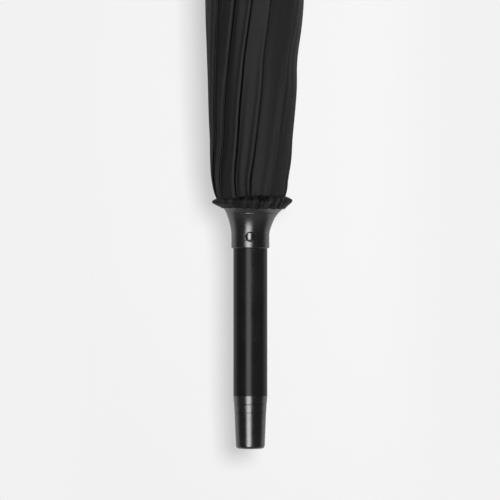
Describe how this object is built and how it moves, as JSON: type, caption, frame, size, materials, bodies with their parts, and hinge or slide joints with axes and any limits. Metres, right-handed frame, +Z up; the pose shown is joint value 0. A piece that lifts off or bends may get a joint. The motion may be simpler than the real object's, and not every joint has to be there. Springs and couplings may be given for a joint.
{
  "type": "golf umbrella",
  "caption": "Large straight umbrella, closed, with a wrapped dark canopy, cup collar, push button and straight tube handle; opens on ribs, stretchers and a runner.",
  "frame": {"origin": "centre of the handle's end face", "axes": "+Z up the shaft from handle to ferrule; -Y the side with the release button"},
  "size_m": [0.0784, 0.0814, 0.968],
  "materials": {
    "canopy_cloth": "charcoal twill, slight sheen",
    "thread": "black sewing thread",
    "black_plastic": "moulded satin black",
    "fibreglass": "pultruded black rod, satin",
    "shaft_coating": "black pultruded tube",
    "grip_black": "smooth black lacquer",
    "inner_plastic": "moulded core",
    "gunmetal": "dark polished gunmetal plating",
    "button_metal": "polished gunmetal plating",
    "steel": "bright spring steel"
  },
  "bodies": {
    "shaft": {"shaft_tube": "shaft_coating", "handle_tube": "grip_black", "handle_core": "inner_plastic", "handle_pin": "steel", "handle_end_cap": "gunmetal", "collar_cup": "gunmetal", "button_spring": "steel", "crown_notch": "black_plastic", "crown_wire": "steel", "top_cap": "gunmetal", "ferrule": "black_plastic", "main_spring": "steel"},
    "button": {"release_button": "button_metal"},
    "runner": {"runner": "black_plastic", "runner_wire": "steel"},
    "rib_1": {"rib_1": "fibreglass", "rib_fittings_1": "black_plastic", "gore_1": "canopy_cloth"},
    "stretcher_1": {"stretcher_1": "fibreglass"},
    "gore_edge_1": {"hem_tack_1": "thread"},
    "rib_2": {"rib_2": "fibreglass", "rib_fittings_2": "black_plastic", "gore_2": "canopy_cloth"},
    "stretcher_2": {"stretcher_2": "fibreglass"},
    "gore_edge_2": {"hem_tack_2": "thread"},
    "rib_3": {"rib_3": "fibreglass", "rib_fittings_3": "black_plastic", "gore_3": "canopy_cloth"},
    "stretcher_3": {"stretcher_3": "fibreglass"},
    "gore_edge_3": {"hem_tack_3": "thread"},
    "rib_4": {"rib_4": "fibreglass", "rib_fittings_4": "black_plastic", "gore_4": "canopy_cloth"},
    "stretcher_4": {"stretcher_4": "fibreglass"},
    "gore_edge_4": {"hem_tack_4": "thread"},
    "rib_5": {"rib_5": "fibreglass", "rib_fittings_5": "black_plastic", "gore_5": "canopy_cloth"},
    "stretcher_5": {"stretcher_5": "fibreglass"},
    "gore_edge_5": {"hem_tack_5": "thread"},
    "rib_6": {"rib_6": "fibreglass", "rib_fittings_6": "black_plastic", "gore_6": "canopy_cloth", "tie_strap": "canopy_cloth", "strap_stud": "steel"},
    "stretcher_6": {"stretcher_6": "fibreglass"},
    "gore_edge_6": {"hem_tack_6": "thread"},
    "rib_7": {"rib_7": "fibreglass", "rib_fittings_7": "black_plastic", "gore_7": "canopy_cloth"},
    "stretcher_7": {"stretcher_7": "fibreglass"},
    "gore_edge_7": {"hem_tack_7": "thread"},
    "rib_8": {"rib_8": "fibreglass", "rib_fittings_8": "black_plastic", "gore_8": "canopy_cloth"},
    "stretcher_8": {"stretcher_8": "fibreglass"},
    "gore_edge_8": {"hem_tack_8": "thread"}
  },
  "joints": [
    {"name": "canopy_open", "type": "hinge", "parent": "shaft", "child": "rib_1", "pos_m": [-0.0098, -0.00499, 0.912], "axis": [-0.454, 0.891, 0], "range_deg": [0, 67.5], "deforming": ["main_spring"]},
    {"name": "stretcher_1_fold", "type": "hinge", "parent": "rib_1", "child": "stretcher_1", "pos_m": [-0.01248, -0.00636, 0.56701], "axis": [-0.454, 0.891, 0], "range_deg": [-135, 0]},
    {"name": "gore_1_spread", "type": "slide", "parent": "rib_1", "child": "gore_edge_1", "axis": [0.5399, -0.7581, 0.3657], "range_m": [0, 0.49935], "deforming": ["hem_tack_1"]},
    {"name": "rib_2_swing", "type": "hinge", "parent": "shaft", "child": "rib_2", "pos_m": [-0.0034, -0.01046, 0.912], "axis": [-0.9511, 0.309, 0], "range_deg": [0, 67.5]},
    {"name": "stretcher_2_fold", "type": "hinge", "parent": "rib_2", "child": "stretcher_2", "pos_m": [-0.00433, -0.01333, 0.56701], "axis": [-0.9511, 0.309, 0], "range_deg": [-135, 0]},
    {"name": "gore_2_spread", "type": "slide", "parent": "rib_2", "child": "gore_edge_2", "axis": [0.9178, -0.1542, 0.3657], "range_m": [0, 0.49935], "deforming": ["hem_tack_2"]},
    {"name": "rib_3_swing", "type": "hinge", "parent": "shaft", "child": "rib_3", "pos_m": [0.00499, -0.0098, 0.912], "axis": [-0.891, -0.454, 0], "range_deg": [0, 67.5]},
    {"name": "stretcher_3_fold", "type": "hinge", "parent": "rib_3", "child": "stretcher_3", "pos_m": [0.00636, -0.01248, 0.56701], "axis": [-0.891, -0.454, 0], "range_deg": [-135, 0]},
    {"name": "gore_3_spread", "type": "slide", "parent": "rib_3", "child": "gore_edge_3", "axis": [0.7581, 0.5399, 0.3657], "range_m": [0, 0.49935], "deforming": ["hem_tack_3"]},
    {"name": "rib_4_swing", "type": "hinge", "parent": "shaft", "child": "rib_4", "pos_m": [0.01046, -0.0034, 0.912], "axis": [-0.309, -0.9511, 0], "range_deg": [0, 67.5]},
    {"name": "stretcher_4_fold", "type": "hinge", "parent": "rib_4", "child": "stretcher_4", "pos_m": [0.01333, -0.00433, 0.56701], "axis": [-0.309, -0.9511, 0], "range_deg": [-135, 0]},
    {"name": "gore_4_spread", "type": "slide", "parent": "rib_4", "child": "gore_edge_4", "axis": [0.1542, 0.9178, 0.3657], "range_m": [0, 0.49935], "deforming": ["hem_tack_4"]},
    {"name": "rib_5_swing", "type": "hinge", "parent": "shaft", "child": "rib_5", "pos_m": [0.0098, 0.00499, 0.912], "axis": [0.454, -0.891, 0], "range_deg": [0, 67.5]},
    {"name": "stretcher_5_fold", "type": "hinge", "parent": "rib_5", "child": "stretcher_5", "pos_m": [0.01248, 0.00636, 0.56701], "axis": [0.454, -0.891, 0], "range_deg": [-135, 0]},
    {"name": "gore_5_spread", "type": "slide", "parent": "rib_5", "child": "gore_edge_5", "axis": [-0.5399, 0.7581, 0.3657], "range_m": [0, 0.49935], "deforming": ["hem_tack_5"]},
    {"name": "rib_6_swing", "type": "hinge", "parent": "shaft", "child": "rib_6", "pos_m": [0.0034, 0.01046, 0.912], "axis": [0.9511, -0.309, 0], "range_deg": [0, 67.5]},
    {"name": "stretcher_6_fold", "type": "hinge", "parent": "rib_6", "child": "stretcher_6", "pos_m": [0.00433, 0.01333, 0.56701], "axis": [0.9511, -0.309, 0], "range_deg": [-135, 0]},
    {"name": "gore_6_spread", "type": "slide", "parent": "rib_6", "child": "gore_edge_6", "axis": [-0.9178, 0.1542, 0.3657], "range_m": [0, 0.49935], "deforming": ["hem_tack_6"]},
    {"name": "rib_7_swing", "type": "hinge", "parent": "shaft", "child": "rib_7", "pos_m": [-0.00499, 0.0098, 0.912], "axis": [0.891, 0.454, 0], "range_deg": [0, 67.5]},
    {"name": "stretcher_7_fold", "type": "hinge", "parent": "rib_7", "child": "stretcher_7", "pos_m": [-0.00636, 0.01248, 0.56701], "axis": [0.891, 0.454, 0], "range_deg": [-135, 0]},
    {"name": "gore_7_spread", "type": "slide", "parent": "rib_7", "child": "gore_edge_7", "axis": [-0.7581, -0.5399, 0.3657], "range_m": [0, 0.49935], "deforming": ["hem_tack_7"]},
    {"name": "rib_8_swing", "type": "hinge", "parent": "shaft", "child": "rib_8", "pos_m": [-0.01046, 0.0034, 0.912], "axis": [0.309, 0.9511, 0], "range_deg": [0, 67.5]},
    {"name": "stretcher_8_fold", "type": "hinge", "parent": "rib_8", "child": "stretcher_8", "pos_m": [-0.01333, 0.00433, 0.56701], "axis": [0.309, 0.9511, 0], "range_deg": [-135, 0]},
    {"name": "gore_8_spread", "type": "slide", "parent": "rib_8", "child": "gore_edge_8", "axis": [-0.1542, -0.9178, 0.3657], "range_m": [0, 0.49935], "deforming": ["hem_tack_8"]},
    {"name": "runner_pivot", "type": "hinge", "parent": "stretcher_1", "child": "runner", "pos_m": [-0.0098, -0.00499, 0.22203], "axis": [-0.454, 0.891, 0], "range_deg": [0, 67.5]},
    {"name": "button_press", "type": "slide", "parent": "shaft", "child": "button", "axis": [0, 1, 0], "range_m": [0, 0.0014], "stiffness_N_per_m": 400, "deforming": ["button_spring"]}
  ],
  "couplings": [
    {"joint": "stretcher_1_fold", "follows": "canopy_open", "ratio": -2},
    {"joint": "gore_1_spread", "follows": "canopy_open", "m_per_rad": 0.42386},
    {"joint": "rib_2_swing", "follows": "canopy_open", "ratio": 1},
    {"joint": "stretcher_2_fold", "follows": "canopy_open", "ratio": -2},
    {"joint": "gore_2_spread", "follows": "canopy_open", "m_per_rad": 0.42386},
    {"joint": "rib_3_swing", "follows": "canopy_open", "ratio": 1},
    {"joint": "stretcher_3_fold", "follows": "canopy_open", "ratio": -2},
    {"joint": "gore_3_spread", "follows": "canopy_open", "m_per_rad": 0.42386},
    {"joint": "rib_4_swing", "follows": "canopy_open", "ratio": 1},
    {"joint": "stretcher_4_fold", "follows": "canopy_open", "ratio": -2},
    {"joint": "gore_4_spread", "follows": "canopy_open", "m_per_rad": 0.42386},
    {"joint": "rib_5_swing", "follows": "canopy_open", "ratio": 1},
    {"joint": "stretcher_5_fold", "follows": "canopy_open", "ratio": -2},
    {"joint": "gore_5_spread", "follows": "canopy_open", "m_per_rad": 0.42386},
    {"joint": "rib_6_swing", "follows": "canopy_open", "ratio": 1},
    {"joint": "stretcher_6_fold", "follows": "canopy_open", "ratio": -2},
    {"joint": "gore_6_spread", "follows": "canopy_open", "m_per_rad": 0.42386},
    {"joint": "rib_7_swing", "follows": "canopy_open", "ratio": 1},
    {"joint": "stretcher_7_fold", "follows": "canopy_open", "ratio": -2},
    {"joint": "gore_7_spread", "follows": "canopy_open", "m_per_rad": 0.42386},
    {"joint": "rib_8_swing", "follows": "canopy_open", "ratio": 1},
    {"joint": "stretcher_8_fold", "follows": "canopy_open", "ratio": -2},
    {"joint": "gore_8_spread", "follows": "canopy_open", "m_per_rad": 0.42386},
    {"joint": "runner_pivot", "follows": "canopy_open", "ratio": 1}
  ]
}
